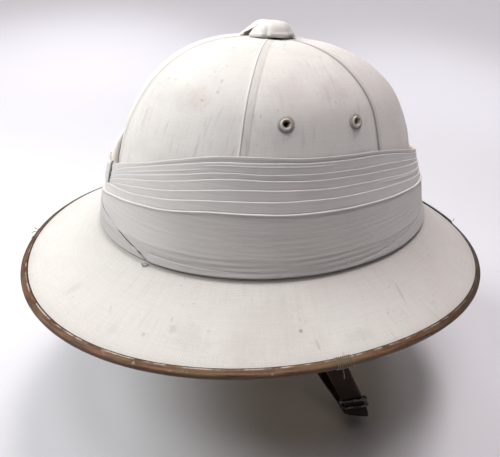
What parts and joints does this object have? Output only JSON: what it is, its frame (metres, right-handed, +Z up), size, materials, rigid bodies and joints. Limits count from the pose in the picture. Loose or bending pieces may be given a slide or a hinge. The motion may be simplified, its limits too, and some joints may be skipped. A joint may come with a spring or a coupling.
{
  "type": "pith helmet",
  "caption": "White cloth-covered pith helmet with a sloping leather-bound brim, pleated cloth band, lobed vent cap, metal eyelets and a leather chin strap with a slide buckle.",
  "frame": {"origin": "in the head opening, on the upright axis through the vent cap, at the level where the crown meets the brim at the sides", "axes": "+Z up through the vent cap, -Y towards the front of the helmet, +X towards the wearer's left"},
  "size_m": [0.2953, 0.3453, 0.2801],
  "materials": {
    "pith": "matt moulded pith",
    "crown_cloth": "matt whitened drill cloth, a little soiled",
    "pugaree_cloth": "matt thin white cloth",
    "binding_leather": "worn brown leather, rubbed pale along its edge",
    "strap_leather": "dark brown leather with a dull polish",
    "eyelet_metal": "dull, with white paint worn thin",
    "steel": "dull grey, darkened"
  },
  "bodies": {
    "root": {"pith_body": "pith", "crown_panel_1": "crown_cloth", "crown_panel_2": "crown_cloth", "crown_panel_3": "crown_cloth", "crown_panel_4": "crown_cloth", "crown_panel_5": "crown_cloth", "crown_panel_6": "crown_cloth", "brim_cover": "crown_cloth", "brim_binding": "binding_leather", "pugaree_band": "pugaree_cloth", "pugaree_fold_1": "pugaree_cloth", "pugaree_fold_2": "pugaree_cloth", "pugaree_fold_3": "pugaree_cloth", "pugaree_fold_4": "pugaree_cloth", "pugaree_fold_5": "pugaree_cloth", "pugaree_fold_6": "pugaree_cloth", "pugaree_loop": "pugaree_cloth", "vent_cap": "crown_cloth", "vent_eyelet_1": "eyelet_metal", "vent_eyelet_2": "eyelet_metal", "vent_eyelet_3": "eyelet_metal", "vent_eyelet_4": "eyelet_metal", "chin_strap": "strap_leather", "strap_buckle": "steel", "strap_rivet_left": "steel", "strap_rivet_right": "steel"}
  },
  "joints": []
}
